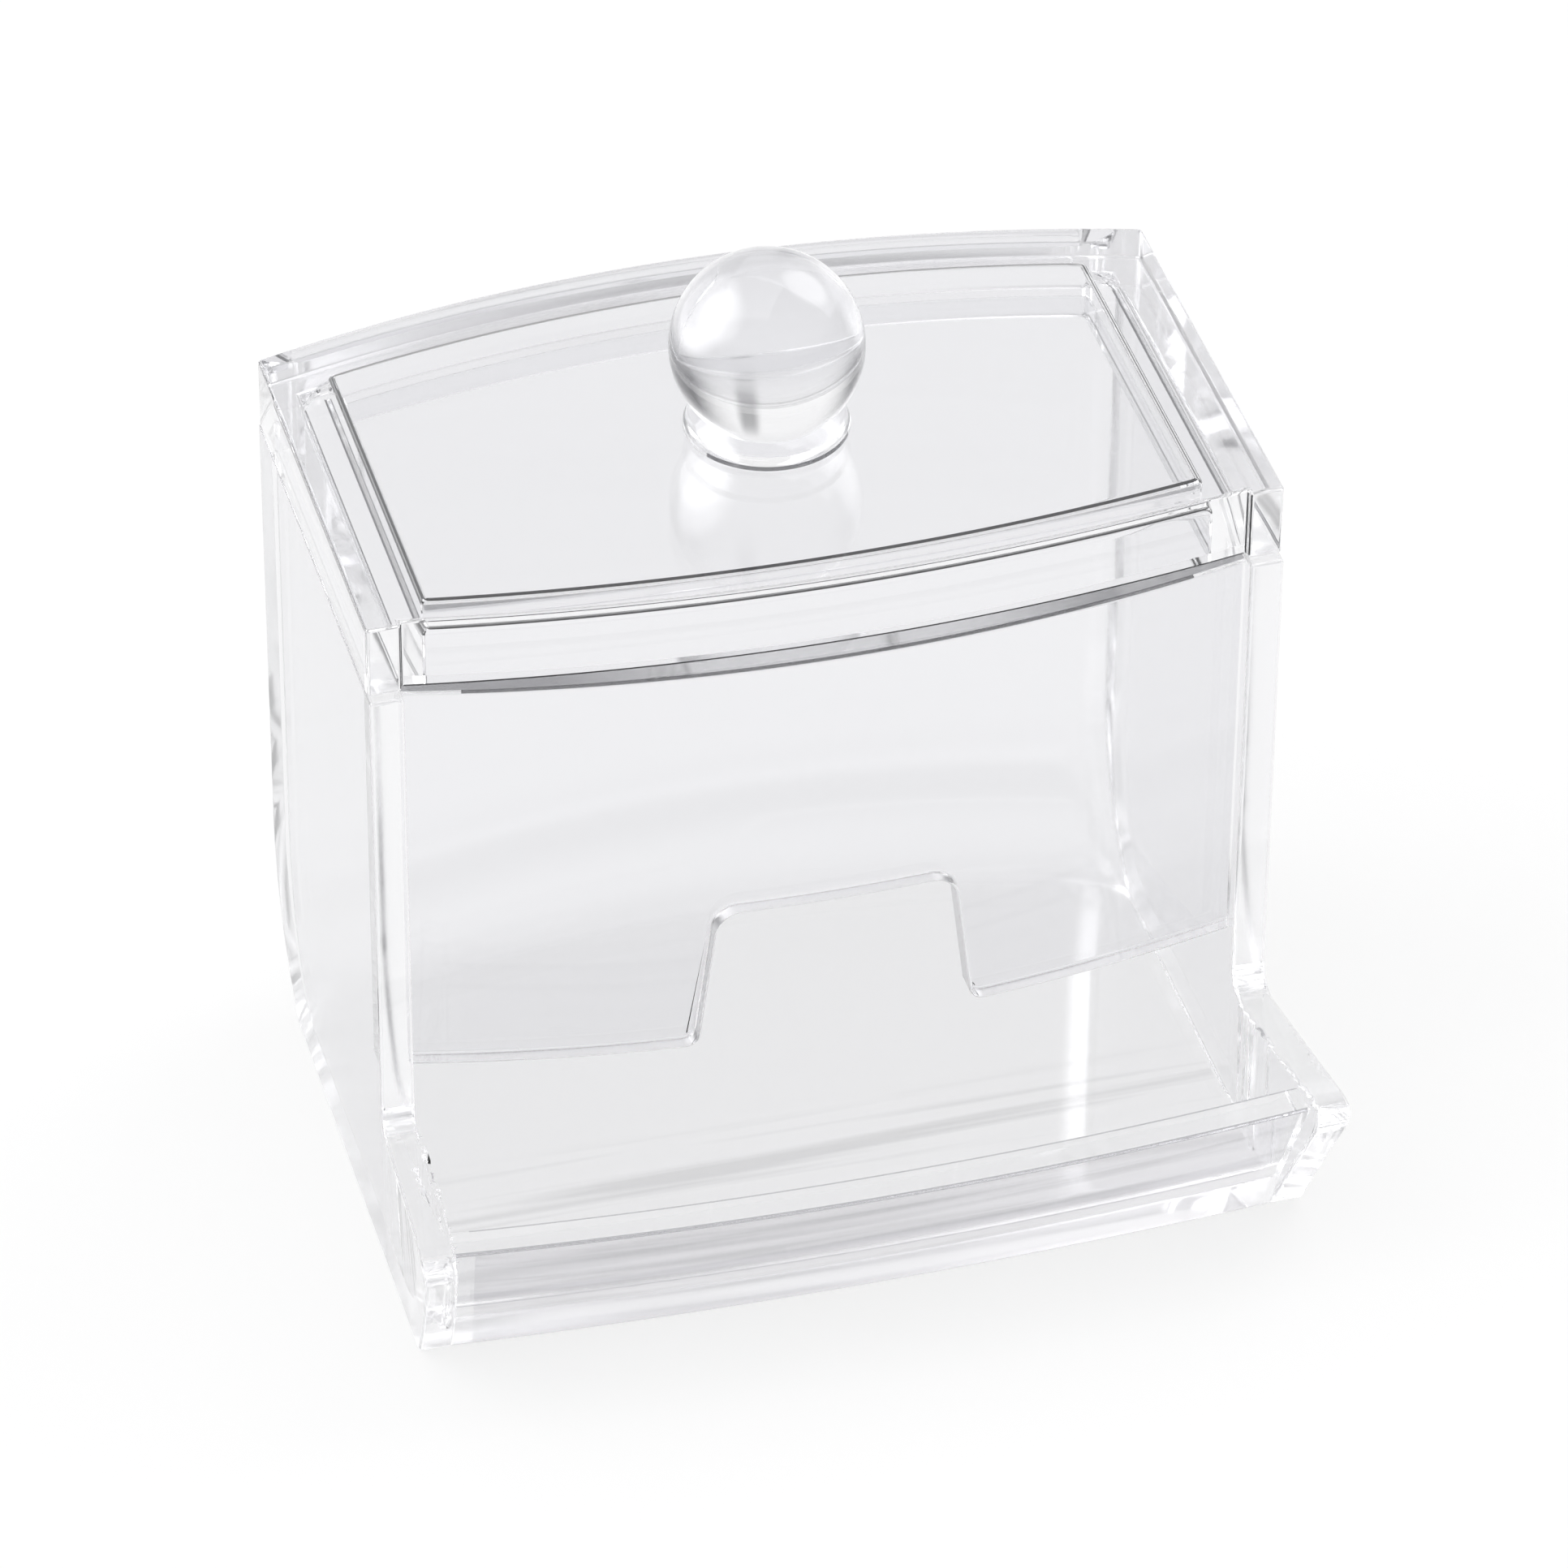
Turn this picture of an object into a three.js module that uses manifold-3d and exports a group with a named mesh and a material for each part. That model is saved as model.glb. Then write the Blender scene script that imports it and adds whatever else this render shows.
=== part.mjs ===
// A clear plastic box that stores cotton swabs and hands them out at the front.
// Swabs lie across the box, slide down its swept back wall and stop in the open tray.
// A lid with a ball knob sits on the walls and lifts straight off.
// Millimetres, +Z up, the tray facing -Y. The table is z = 0.

import * as THREE from "three";
import { mergeVertices } from "three/addons/utils/BufferGeometryUtils.js";
import Module from "manifold-3d";

const wasm = await Module();
wasm.setup();

// The body's outside

const bodyWidth = 85.4;
const cornerDepth = 45.4; // front faces of the side walls to the rear corners
const bodyHeight = 64.8; // table to the edge that carries the lid
const backBow = 6.3; // how far the back bulges past the rear corners
const sweepRadius = 24; // outside of the back wall, where it curves in under the box
const sweepHeight = 18.6; // table to where that curve starts

// The body's walls

const sideThickness = 3.2;
const backThickness = 2.9;
const floorThickness = 3;
const rampFillet = 5.5; // rounds the swept wall into the floor
const seamRelief = 0.5; // the bowed walls stop this far below the lid

// The bowed front wall, with the notch for a finger in its lower edge

const frontThickness = 2.9;
const frontBow = 4.8; // from its ends to its middle
const frontRecess = 1.6; // its ends stand this far behind the side walls' faces
const mouthHeight = 21.6; // table to its lower edge
const notchHeight = 15;
const notchFootWidth = 25.8;
const notchHeadWidth = 23;
const notchRound = 2.5;
const notchLipRound = 1.5;

// The tray

const trayReach = 13.4; // base of the tray's front past the side walls' faces, at its ends
const trayHeight = 16.7; // table to the rim of the tray's front
const trayLean = 6.8; // how far that rim leans out past its base
const trayThickness = 3.2;
const trayBaseBow = 1.5;
const trayRimBow = 2.2;
const trayScoop = 7.5; // rounds the floor up into the tray's front
const trayEndGap = 0.15; // between the tray's front and the flared sides
const cheekHeight = 15.9; // table to the rim of a tray side, where it leaves the side wall
const cheekTipHeight = 18.4;
const cheekProud = 0.25; // its foot stands this far in front of the tray's front
const cheekLean = 10; // how far its tip leans out past its foot
const cheekFlare = 1.5; // how far its tip leans out to the side
const cheekRootRound = 2.5;
const cheekTipRound = 4.6;
const cheekBaseRound = 1.2;

// The lid

const lidHeight = 7.5;
const lidPlate = 3; // thickness of its top
const lidFrontBow = 3.6; // flatter than the front wall's, from the same ends
const lidSetback = 0.9; // its corner blocks stand this far behind the side walls' faces
const lidRearInset = 0.65; // its rear edge lies this far inside the back wall's
const plugDrop = 2; // how far the rib under the lid reaches down inside the walls
const plugFit = 0.25; // between that rib and the walls
const ribSide = 2.7; // thickness of that rib along the sides
const ribFront = 2.4; // the same in the middle of the front
const ribBack = 1; // and along the back
const pocketRound = 0.8; // rounds the rib into the underside of the top

// The knob

const collarRadius = 8.6;
const collarHeight = 1.2;
const collarRound = 0.9;
const ballRadius = 9;
const ballSink = 1.5; // the flat under the ball lies this far inside its full sphere

// How finely curves are divided

const bowSteps = 24;
const sweepSteps = 10;
const filletSteps = 5;
const ballSteps = 20;
const ballSides = 40;
const overrun = 1; // cutters pass the faces they cut by this much

// Places worked out from the sizes above

const halfWidth = bodyWidth / 2;
const innerHalfWidth = halfWidth - sideThickness;
const frontFace = -cornerDepth / 2;
const rearCorner = cornerDepth / 2;
const backMost = rearCorner + backBow;
const backRadius = bowRadius(halfWidth, backBow);
const frontRadius = bowRadius(innerHalfWidth, frontBow);
const frontMost = frontFace + frontRecess - frontBow;
const lidFrontRadius = bowRadius(innerHalfWidth, lidFrontBow);
const lidFrontMost = frontFace + frontRecess - lidFrontBow;
const trayBase = frontFace - trayReach;
const trayMost = trayBase - trayLean - trayRimBow;
const leanShare = trayLean / trayHeight;
const lidTop = bodyHeight + lidHeight;
const plugInset = Math.max(sideThickness, frontThickness, backThickness) + plugFit;

const clearPlastic = { color: 0xeef1f3, roughness: 0.06, metalness: 0, transparent: true, opacity: 0.35 };

// Radius of an arc that rises by bow over half its chord
function bowRadius(halfChord, bow) {
  return (halfChord * halfChord + bow * bow) / (2 * bow);
}

// How far an arc of that radius has fallen back at x from its middle
function fallBack(radius, x) {
  return radius - Math.sqrt(radius * radius - x * x);
}

// How far the back's outline lies in front of its middle at x
function backFall(x) {
  return fallBack(backRadius, x);
}

// The same for the tray's front, whose bow grows from base to rim
function trayFall(x, z) {
  const bow = trayBaseBow + ((trayRimBow - trayBaseBow) * z) / trayHeight;
  return (bow * x * x) / (innerHalfWidth * innerHalfWidth);
}

// How far the tray's sides lean out at a place in front of the side walls
function flareAt(y, z) {
  const forwardShare = Math.max(0, (frontFace - y) / (frontFace - trayMost));
  return (cheekFlare * forwardShare * z) / cheekTipHeight;
}

function mesh(name, geometry) {
  geometry.computeVertexNormals();
  const made = new THREE.Mesh(geometry, new THREE.MeshStandardMaterial(clearPlastic));
  made.name = name;
  return made;
}

function movePoints(geometry, move) {
  const places = geometry.getAttribute("position");
  const point = new THREE.Vector3();
  for (let i = 0; i < places.count; i++) {
    point.fromBufferAttribute(places, i);
    move(point);
    places.setXYZ(i, point.x, point.y, point.z);
  }
  return geometry;
}

// A section drawn in y and z, extruded along x from -half to half
function extrudeAcross(section, half, steps) {
  const options = { depth: 2 * half, steps, bevelEnabled: false, curveSegments: filletSteps };
  const geometry = new THREE.ExtrudeGeometry(section, options);
  return movePoints(geometry, (point) => point.set(point.z - half, point.x, point.y));
}

// An outline drawn in x and y, extruded upwards from one height to another
function extrudeUp(outline, from, to) {
  const options = { depth: to - from, bevelEnabled: false, curveSegments: filletSteps };
  return new THREE.ExtrudeGeometry(outline, options).translate(0, 0, from);
}

// A closed solid for cutting and joining
function solid(geometry) {
  const bare = geometry.clone();
  bare.deleteAttribute("normal");
  bare.deleteAttribute("uv");
  const merged = mergeVertices(bare);
  const vertProperties = merged.getAttribute("position").array;
  const triVerts = new Uint32Array(merged.index.array);
  return new wasm.Manifold(new wasm.Mesh({ numProp: 3, vertProperties, triVerts }));
}

function geometryOf(made) {
  const { vertProperties, triVerts } = made.getMesh();
  const geometry = new THREE.BufferGeometry();
  geometry.setAttribute("position", new THREE.BufferAttribute(vertProperties, 3));
  geometry.setIndex(new THREE.BufferAttribute(triVerts, 1));
  return geometry;
}

// Points of an arc in y and z, from one angle to another
function arcPoints(centreY, centreZ, radius, start, end, steps) {
  const points = [];
  for (let i = 0; i <= steps; i++) {
    const angle = start + ((end - start) * i) / steps;
    points.push(new THREE.Vector2(centreY + radius * Math.cos(angle), centreZ + radius * Math.sin(angle)));
  }
  return points;
}

// The outside of the back wall from the edge at height low up to where its curve starts
function sweepPoints(backY, low) {
  const start = -Math.asin((sweepHeight - low) / sweepRadius);
  return arcPoints(backY - sweepRadius, sweepHeight, sweepRadius, start, 0, sweepSteps);
}

// Side walls: tall plates with a flat front face, whose rear edge follows the back wall
function sideWall(name, side) {
  const innerBack = backMost - backFall(innerHalfWidth);
  const outline = new THREE.Shape([
    new THREE.Vector2(frontFace, 0),
    ...sweepPoints(innerBack, 0),
    new THREE.Vector2(innerBack, bodyHeight),
    new THREE.Vector2(frontFace, bodyHeight),
  ]);
  const geometry = extrudeAcross(outline, sideThickness / 2, 1);
  movePoints(geometry, (point) => {
    point.x += side * (halfWidth - sideThickness / 2);
    if (point.y > 0) point.y += backFall(innerHalfWidth) - backFall(point.x);
  });
  return mesh(name, geometry);
}

// Tray sides: low cheeks in front of the side walls, rising to a rounded tip and flaring out
function traySide(name, side) {
  const front = (z) => trayBase - cheekProud - (cheekLean * z) / cheekTipHeight;
  const tip = new THREE.Vector2(front(cheekTipHeight), cheekTipHeight);
  const rootEnd = new THREE.Vector2(frontFace - cheekRootRound, cheekHeight);
  const foot = new THREE.Vector2(front(0), 0);
  const alongRim = tip.clone().sub(rootEnd).normalize();
  const downFront = foot.clone().sub(tip).normalize();
  const rimStop = tip.clone().addScaledVector(alongRim, -cheekTipRound);
  const frontStart = tip.clone().addScaledVector(downFront, cheekTipRound);
  const frontStop = foot.clone().addScaledVector(downFront, -cheekBaseRound);
  const outline = new THREE.Shape();
  outline.moveTo(frontFace, 0);
  outline.lineTo(frontFace, cheekHeight + cheekRootRound);
  outline.quadraticCurveTo(frontFace, cheekHeight, rootEnd.x, rootEnd.y);
  outline.lineTo(rimStop.x, rimStop.y);
  outline.quadraticCurveTo(tip.x, tip.y, frontStart.x, frontStart.y);
  outline.lineTo(frontStop.x, frontStop.y);
  outline.quadraticCurveTo(foot.x, foot.y, foot.x + cheekBaseRound, 0);
  const geometry = extrudeAcross(outline, sideThickness / 2, 1);
  movePoints(geometry, (point) => {
    point.x += side * (halfWidth - sideThickness / 2 + flareAt(point.y, point.z));
  });
  return mesh(name, geometry);
}

// Back wall: bowed in plan, vertical above, swept forward into a ramp that rounds into the floor
function backWall() {
  const centreY = backMost - sweepRadius;
  const innerRadius = sweepRadius - backThickness;
  const roundZ = floorThickness + rampFillet;
  const reach = innerRadius - rampFillet;
  const roundY = centreY + Math.sqrt(reach ** 2 - (sweepHeight - roundZ) ** 2);
  const touch = -Math.acos((roundY - centreY) / reach);
  const top = bodyHeight - seamRelief;
  const section = new THREE.Shape([
    ...sweepPoints(backMost, floorThickness),
    new THREE.Vector2(backMost, top),
    new THREE.Vector2(backMost - backThickness, top),
    ...arcPoints(centreY, sweepHeight, innerRadius, 0, touch, sweepSteps),
    ...arcPoints(roundY, roundZ, rampFillet, touch, -Math.PI / 2, filletSteps).slice(1),
  ]);
  const geometry = extrudeAcross(section, innerHalfWidth, bowSteps);
  movePoints(geometry, (point) => {
    point.y -= backFall(point.x);
  });
  return mesh("back_wall", geometry);
}

// Floor: flat, its front edge leaning with the tray's front and its rear edge swept with the back
function floorPanel() {
  const middle = (trayBase + backMost - sweepRadius) / 2;
  const section = new THREE.Shape([
    new THREE.Vector2(trayBase - trayBaseBow, 0),
    ...floorRearPoints(),
    new THREE.Vector2(trayBase - trayBaseBow - trayFloorLean(), floorThickness),
  ]);
  const geometry = extrudeAcross(section, innerHalfWidth, bowSteps);
  movePoints(geometry, (point) => {
    point.y += point.y < middle ? trayFall(point.x, point.z) : -backFall(point.x);
  });
  return mesh("floor_panel", geometry);
}

// The swept outside of the floor's rear edge, from the table to the floor's top
function floorRearPoints() {
  const angle = (z) => -Math.asin((sweepHeight - z) / sweepRadius);
  const centreY = backMost - sweepRadius;
  return arcPoints(centreY, sweepHeight, sweepRadius, angle(0), angle(floorThickness), filletSteps);
}

// How far the tray's front has leaned out by the top of the floor
function trayFloorLean() {
  const bowGain = (trayRimBow - trayBaseBow) / trayHeight;
  return (leanShare + bowGain) * floorThickness;
}

// Tray front: leaning, gently bowed, with the floor scooped up into it
function trayFront() {
  const bowGain = (trayRimBow - trayBaseBow) / trayHeight;
  const slope = leanShare + bowGain;
  const lean = Math.atan(slope);
  const outer = (z) => trayBase - trayBaseBow - slope * z;
  const inner = (z) => outer(z) + trayThickness / Math.cos(lean);
  const reach = trayScoop / Math.tan((Math.PI / 2 + lean) / 2);
  const scoopY = inner(floorThickness) + reach;
  const section = new THREE.Shape([
    new THREE.Vector2(outer(floorThickness), floorThickness),
    ...arcPoints(
      scoopY,
      floorThickness + trayScoop,
      trayScoop,
      -Math.PI / 2,
      lean - Math.PI,
      filletSteps,
    ),
    new THREE.Vector2(inner(trayHeight), trayHeight),
    new THREE.Vector2(outer(trayHeight), trayHeight),
  ]);
  const geometry = extrudeAcross(section, innerHalfWidth - trayEndGap, bowSteps);
  movePoints(geometry, (point) => {
    point.x *= 1 + flareAt(point.y, point.z) / innerHalfWidth;
    point.y += trayFall(point.x, point.z);
  });
  return mesh("tray_front", geometry);
}

// Front wall: an arc in plan between the side walls, open below it, notched for a finger
function frontWall() {
  const outerCentre = frontMost + frontRadius;
  const innerRadius = frontRadius - frontThickness;
  const outline = new THREE.Shape([
    ...bowPoints(outerCentre, frontRadius, -innerHalfWidth, innerHalfWidth),
    ...bowPoints(outerCentre, innerRadius, innerHalfWidth, -innerHalfWidth),
  ]);
  const wall = solid(extrudeUp(outline, mouthHeight, bodyHeight - seamRelief));
  return mesh("front_wall", geometryOf(wall.subtract(fingerNotch())));
}

// Points of an arc bulging to the front, from one x to another
function bowPoints(centreY, radius, from, to) {
  const points = [];
  for (let i = 0; i <= bowSteps; i++) {
    const x = from + ((to - from) * i) / bowSteps;
    points.push(new THREE.Vector2(x, centreY - Math.sqrt(radius * radius - x * x)));
  }
  return points;
}

// The notch's outline in x and z, flared at the foot by the rounded lips and run through in y
function fingerNotch() {
  const footHalf = notchFootWidth / 2;
  const headHalf = notchHeadWidth / 2;
  const head = mouthHeight + notchHeight;
  const outline = new THREE.Shape();
  outline.moveTo(-footHalf - notchLipRound, mouthHeight - overrun);
  outline.lineTo(footHalf + notchLipRound, mouthHeight - overrun);
  outline.lineTo(footHalf + notchLipRound, mouthHeight);
  outline.quadraticCurveTo(footHalf, mouthHeight, footHalf, mouthHeight + notchLipRound);
  outline.lineTo(headHalf, head - notchRound);
  outline.quadraticCurveTo(headHalf, head, headHalf - notchRound, head);
  outline.lineTo(notchRound - headHalf, head);
  outline.quadraticCurveTo(-headHalf, head, -headHalf, head - notchRound);
  outline.lineTo(-footHalf, mouthHeight + notchLipRound);
  outline.quadraticCurveTo(-footHalf, mouthHeight, -footHalf - notchLipRound, mouthHeight);
  const depth = frontBow + frontThickness + 2 * overrun;
  const options = { depth, bevelEnabled: false, curveSegments: filletSteps };
  const cutter = new THREE.ExtrudeGeometry(outline, options);
  movePoints(cutter, (point) => point.set(point.x, frontMost - overrun + depth - point.z, point.y));
  return solid(cutter);
}

// Points along the back's bow from right to left, its middle at a place in y
function rearPoints(half, middle) {
  const points = [];
  for (let i = 0; i <= bowSteps; i++) {
    const x = half - (2 * half * i) / bowSteps;
    points.push(new THREE.Vector2(x, middle - backFall(x)));
  }
  return points;
}

// Plan of the rib that drops inside the walls
function plugOutline() {
  const half = halfWidth - plugInset;
  const front = bowPoints(frontMost + plugInset + frontRadius, frontRadius, -half, half);
  return new THREE.Shape([...front, ...rearPoints(half, backMost - plugInset)]);
}

// Plan of the pocket inside that rib, its front bowed like the lid's
function pocketOutline() {
  const half = halfWidth - plugInset - ribSide;
  const near = frontMost + plugInset + ribFront;
  const front = bowPoints(near + lidFrontRadius, lidFrontRadius, -half, half);
  return new THREE.Shape([...front, ...rearPoints(half, backMost - plugInset - ribBack)]);
}

// Plan of the lid: two square corner blocks over the side walls and a bowed front between
function lidOutline() {
  const blockFace = frontFace + lidSetback;
  const centreY = lidFrontMost + lidFrontRadius;
  return new THREE.Shape([
    new THREE.Vector2(-halfWidth, blockFace),
    new THREE.Vector2(-innerHalfWidth, blockFace),
    ...bowPoints(centreY, lidFrontRadius, -innerHalfWidth, innerHalfWidth),
    new THREE.Vector2(innerHalfWidth, blockFace),
    new THREE.Vector2(halfWidth, blockFace),
    ...rearPoints(halfWidth, backMost - lidRearInset),
  ]);
}

// Lid: a thick plate with a rim on the walls, a rib plugging the box and a rounded pocket below
function lidShell() {
  const plugFoot = bodyHeight - plugDrop;
  const ceiling = lidTop - lidPlate;
  const slab = solid(extrudeUp(lidOutline(), bodyHeight, lidTop));
  const plug = solid(extrudeUp(plugOutline(), plugFoot, bodyHeight + lidHeight / 2));
  const options = {
    depth: ceiling - plugFoot,
    bevelSize: pocketRound,
    bevelThickness: pocketRound,
    bevelOffset: -pocketRound,
    bevelSegments: filletSteps,
  };
  const cutter = new THREE.ExtrudeGeometry(pocketOutline(), options);
  cutter.translate(0, 0, plugFoot - pocketRound);
  return mesh("lid_shell", geometryOf(slab.add(plug).subtract(solid(cutter))));
}

// Knob collar: a low round foot with a softened edge
function knobCollar() {
  const top = lidTop + collarHeight;
  const profile = [
    new THREE.Vector2(0, lidTop),
    new THREE.Vector2(collarRadius, lidTop),
    ...arcPoints(collarRadius - collarRound, top - collarRound, collarRound, 0, Math.PI / 2, filletSteps),
    new THREE.Vector2(0, top),
  ];
  return mesh("knob_collar", turned(profile));
}

// Knob ball: a sphere with a small flat where it stands on the collar
function knobBall() {
  const foot = lidTop + collarHeight;
  const centre = foot + ballRadius - ballSink;
  const start = -Math.asin((ballRadius - ballSink) / ballRadius);
  const round = arcPoints(0, centre, ballRadius, start, Math.PI / 2, ballSteps).slice(0, -1);
  const profile = [
    new THREE.Vector2(0, foot),
    ...round,
    new THREE.Vector2(0, centre + ballRadius),
  ];
  return mesh("knob_ball", turned(profile));
}

// A radius and height profile, from the axis and back to it, turned about +Z
function turned(profile) {
  return new THREE.LatheGeometry(profile, ballSides).rotateX(Math.PI / 2);
}

const body = new THREE.Group();
body.add(
  sideWall("left_side_wall", -1),
  sideWall("right_side_wall", 1),
  traySide("left_tray_side", -1),
  traySide("right_tray_side", 1),
  backWall(),
  frontWall(),
  floorPanel(),
  trayFront(),
);

const lid = new THREE.Group();
lid.add(lidShell(), knobCollar(), knobBall());

// The origin is on the table, in the middle of the width and of the depth
const box = new THREE.Group();
box.add(body, lid);
const extent = new THREE.Box3().setFromObject(box);
box.position.y = -(extent.min.y + extent.max.y) / 2;

export default box;
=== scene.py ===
"""A clear plastic storage box for cotton swabs, lit as a studio picture on white.

The body and the lid are each one moulding here, so that light runs through them unbroken.
"""
import math

import bmesh
import bpy
from mathutils import Matrix, Vector

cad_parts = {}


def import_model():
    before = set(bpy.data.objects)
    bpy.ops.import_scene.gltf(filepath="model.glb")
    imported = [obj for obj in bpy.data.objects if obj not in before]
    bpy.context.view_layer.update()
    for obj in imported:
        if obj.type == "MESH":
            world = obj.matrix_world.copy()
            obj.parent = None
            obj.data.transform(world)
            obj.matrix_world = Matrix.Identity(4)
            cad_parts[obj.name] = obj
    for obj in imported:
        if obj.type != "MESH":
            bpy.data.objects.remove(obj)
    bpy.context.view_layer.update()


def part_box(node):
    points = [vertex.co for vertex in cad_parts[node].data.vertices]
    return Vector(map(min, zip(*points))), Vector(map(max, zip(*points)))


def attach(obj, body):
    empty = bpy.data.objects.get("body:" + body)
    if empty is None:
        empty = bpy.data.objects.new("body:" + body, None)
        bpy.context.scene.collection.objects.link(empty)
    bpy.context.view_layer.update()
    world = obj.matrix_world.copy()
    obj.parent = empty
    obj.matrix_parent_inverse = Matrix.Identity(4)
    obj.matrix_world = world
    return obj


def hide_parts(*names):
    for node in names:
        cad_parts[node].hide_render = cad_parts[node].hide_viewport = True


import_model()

MM = 0.001

# Places read from the frame

wall_low, wall_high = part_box("left_side_wall")
back_low, back_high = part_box("back_wall")
front_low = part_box("front_wall")[0]
tray_low, tray_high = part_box("tray_front")
cheek_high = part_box("left_tray_side")[1]
lid_low, lid_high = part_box("lid_shell")
collar_low, collar_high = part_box("knob_collar")
ball_low, ball_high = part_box("knob_ball")

OUTER = -wall_low.x
INNER = -wall_high.x
FRONT = wall_low.y
TOP = wall_high.z
WALL_TOP = back_high.z
BACK = back_high.y
FLOOR = back_low.z
BOW_FRONT = front_low.y
MOUTH = front_low.z
TRAY_FRONT = tray_low.y
TRAY_RIM = tray_high.z
CHEEK_TIP = cheek_high.z
LID_MIDDLE = (collar_low.y + collar_high.y) / 2
LID_TOP = lid_high.z
RIB_FOOT = lid_low.z

# Sizes of the mouldings that a box doesn't show

SWEEP_RADIUS = 24 * MM
SWEEP_HEIGHT = 18.6 * MM
BACK_WALL = 2.9 * MM
BACK_BOW = 6.3 * MM
CORNER_FILLET = 4 * MM
RAMP_FILLET = 5.5 * MM
FRONT_WALL = 2.9 * MM
FRONT_BOW = 4.8 * MM
NOTCH_HEIGHT = 15 * MM
NOTCH_FOOT = 12.9 * MM
NOTCH_HEAD = 11.5 * MM
NOTCH_ROUND = 2.5 * MM
NOTCH_LIP = 1.5 * MM
TRAY_LEAN = 6.8 * MM
TRAY_WALL = 3.2 * MM
TRAY_BASE_BOW = 1.5 * MM
TRAY_RIM_BOW = 2.2 * MM
TRAY_SCOOP = 7.5 * MM
CHEEK_RIM = 15.9 * MM
CHEEK_PROUD = 0.25 * MM
CHEEK_LEAN = 10 * MM
CHEEK_FLARE = 1.48 * MM
CHEEK_ROOT = 2.5 * MM
CHEEK_ROUND = 4.6 * MM
CHEEK_FOOT = 1.2 * MM
SEAT_GAP = 0.1 * MM  # air left between parts that rest on each other
LID_PLATE = 3 * MM
LID_FRONT_BOW = 3.6 * MM
LID_SETBACK = 0.9 * MM
LID_REAR_INSET = 0.65 * MM
LID_FRONT = 1.6 * MM  # the ends of its bow stand this far behind the side walls' faces
PLUG_INSET = 3.45 * MM
RIB_SIDE = 2.7 * MM
RIB_FRONT = 2.4 * MM
RIB_BACK = 1 * MM
POCKET_ROUND = 0.8 * MM
COLLAR_ROUND = 0.9 * MM
COLLAR_SINK = 0.5 * MM  # the ball's flat lies this far inside the collar
COLLAR_INSET = 0.9 * MM  # the collar shows this much narrower than its solid
EDGE_ROUND = 0.35 * MM
WALL_STEP = 0.02 * MM  # the front wall ends this far below the top of its solid
OVERRUN = 2 * MM  # how far a cut runs past what it cuts

BACK_RADIUS = (OUTER ** 2 + BACK_BOW ** 2) / (2 * BACK_BOW)
FRONT_RADIUS = (INNER ** 2 + FRONT_BOW ** 2) / (2 * FRONT_BOW)
LID_RADIUS = (INNER ** 2 + LID_FRONT_BOW ** 2) / (2 * LID_FRONT_BOW)
LID_FOOT = TOP + SEAT_GAP
POCKET_CEILING = LID_TOP - LID_PLATE
LEAN_SLOPE = TRAY_LEAN / TRAY_RIM
MIDDLE_SLOPE = LEAN_SLOPE + (TRAY_RIM_BOW - TRAY_BASE_BOW) / TRAY_RIM
TRAY_BASE = TRAY_FRONT + TRAY_LEAN + TRAY_RIM_BOW

# How finely the shapes are drawn

STATIONS = 48
ARC_STEPS = 16
NOTCH_STEPS = 8
LIP_STEPS = 6
ROUND_STEPS = 96
BEVEL_STEPS = 6
EDGE_STEPS = 3
WELD = 0.01 * MM  # vertices nearer than this become one
FLAT_ANGLE = math.radians(0.2)  # faces that bend less than this become one
SHARP_ANGLE = math.radians(35)  # edges that bend more than this are rounded
SMOOTH_ANGLE = math.radians(40)  # edges that bend more than this stay sharp in the shading


# Outlines

def arc(centre, radius, start, end, steps=ARC_STEPS):
    """Points in a plane along an arc, from one angle to another."""
    points = []
    for i in range(steps + 1):
        angle = start + (end - start) * i / steps
        points.append((centre[0] + radius * math.cos(angle), centre[1] + radius * math.sin(angle)))
    return points


def round_corner(before, corner, after, length):
    """Points of a parabola that rounds a corner of an outline from a length before it to as far past it."""
    start = corner + (before - corner).normalized() * length
    end = corner + (after - corner).normalized() * length
    shares = [i / ARC_STEPS for i in range(ARC_STEPS + 1)]
    return [tuple((1 - t) ** 2 * start + 2 * t * (1 - t) * corner + t ** 2 * end) for t in shares]


def bow(centre_y, radius, start, end):
    """Points across the box along a bow that comes forward in its middle."""
    points = []
    for i in range(STATIONS + 1):
        x = start + (end - start) * i / STATIONS
        points.append((x, centre_y - math.sqrt(radius ** 2 - x ** 2)))
    return points


def back_fall(x):
    """How far the back's outline lies in front of its middle."""
    return BACK_RADIUS - math.sqrt(BACK_RADIUS ** 2 - x ** 2)


def tray_fall(x, z):
    """How far the tray's front lies behind its middle, at a height."""
    depth = TRAY_BASE_BOW + (TRAY_RIM_BOW - TRAY_BASE_BOW) * z / TRAY_RIM
    return depth * (x / INNER) ** 2


def hollow_back_fall(x):
    """The same as back_fall, with the upright fillets in the hollow's rear corners."""
    past = max(0, abs(x) - (INNER - CORNER_FILLET))
    past = min(past, CORNER_FILLET)
    return back_fall(x) + CORNER_FILLET - math.sqrt(CORNER_FILLET ** 2 - past ** 2)


def even_stations(half):
    """Evenly spaced places across the box, from one side to the other."""
    return [half * (2 * i / STATIONS - 1) for i in range(STATIONS + 1)]


def hollow_stations():
    """Even stations, closer together through the upright corner fillets."""
    straight = INNER - CORNER_FILLET
    angles = [math.pi / 2 * i / ARC_STEPS for i in range(1, ARC_STEPS + 1)]
    turn = [straight + CORNER_FILLET * math.sin(angle) for angle in angles]
    half = [straight * i * 2 / STATIONS for i in range(STATIONS // 2 + 1)] + turn + [OUTER + OVERRUN]
    return [-x for x in reversed(half[1:])] + half


# Modelling helpers

def pick(piece):
    """Makes a piece the only one that is selected, and the active one."""
    bpy.ops.object.select_all(action="DESELECT")
    piece.select_set(True)
    bpy.context.view_layer.objects.active = piece


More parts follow.
